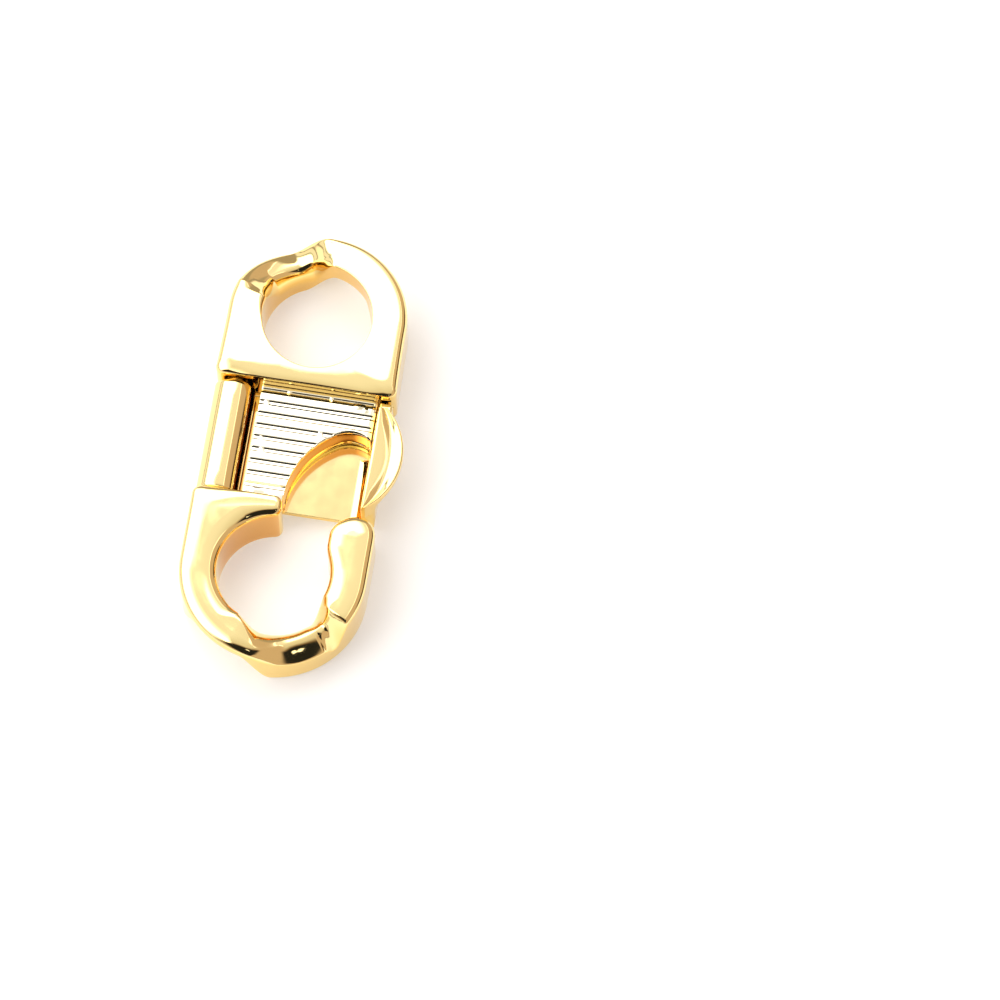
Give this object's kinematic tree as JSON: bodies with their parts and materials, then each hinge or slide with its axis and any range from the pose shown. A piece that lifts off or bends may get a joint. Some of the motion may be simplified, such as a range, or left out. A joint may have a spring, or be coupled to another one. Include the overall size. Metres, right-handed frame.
{
  "type": "carabiner clasp",
  "caption": "Gold-plated carabiner clasp with a fixed eye and a curb-link hook closed by a hinged gate with a half-moon thumb tab.",
  "frame": {"origin": "middle of the bounding box, on the flat back face that the clasp lies on", "axes": "+Z out of the front face, +Y towards the eye, +X towards the thumb tab; the hinge is on the -X side and its axis runs along Y"},
  "size_m": [0.0116, 0.026, 0.004],
  "materials": {
    "polished_casting": "gold plated, mirror polish, with the ribs of the bridge left paler",
    "polished_gate": "gold plated, mirror polish",
    "pin_brass": "plain drawn brass, hidden in use"
  },
  "bodies": {
    "casting": {"clasp_body": "polished_casting", "hinge_pin": "pin_brass"},
    "gate": {"hinged_gate": "polished_gate"}
  },
  "joints": [
    {"name": "gate_hinge", "type": "hinge", "parent": "casting", "child": "gate", "pos_m": [-0.00455, 0.0003, 0.002], "axis": [0, 1, 0], "range_deg": [0, 175]}
  ]
}
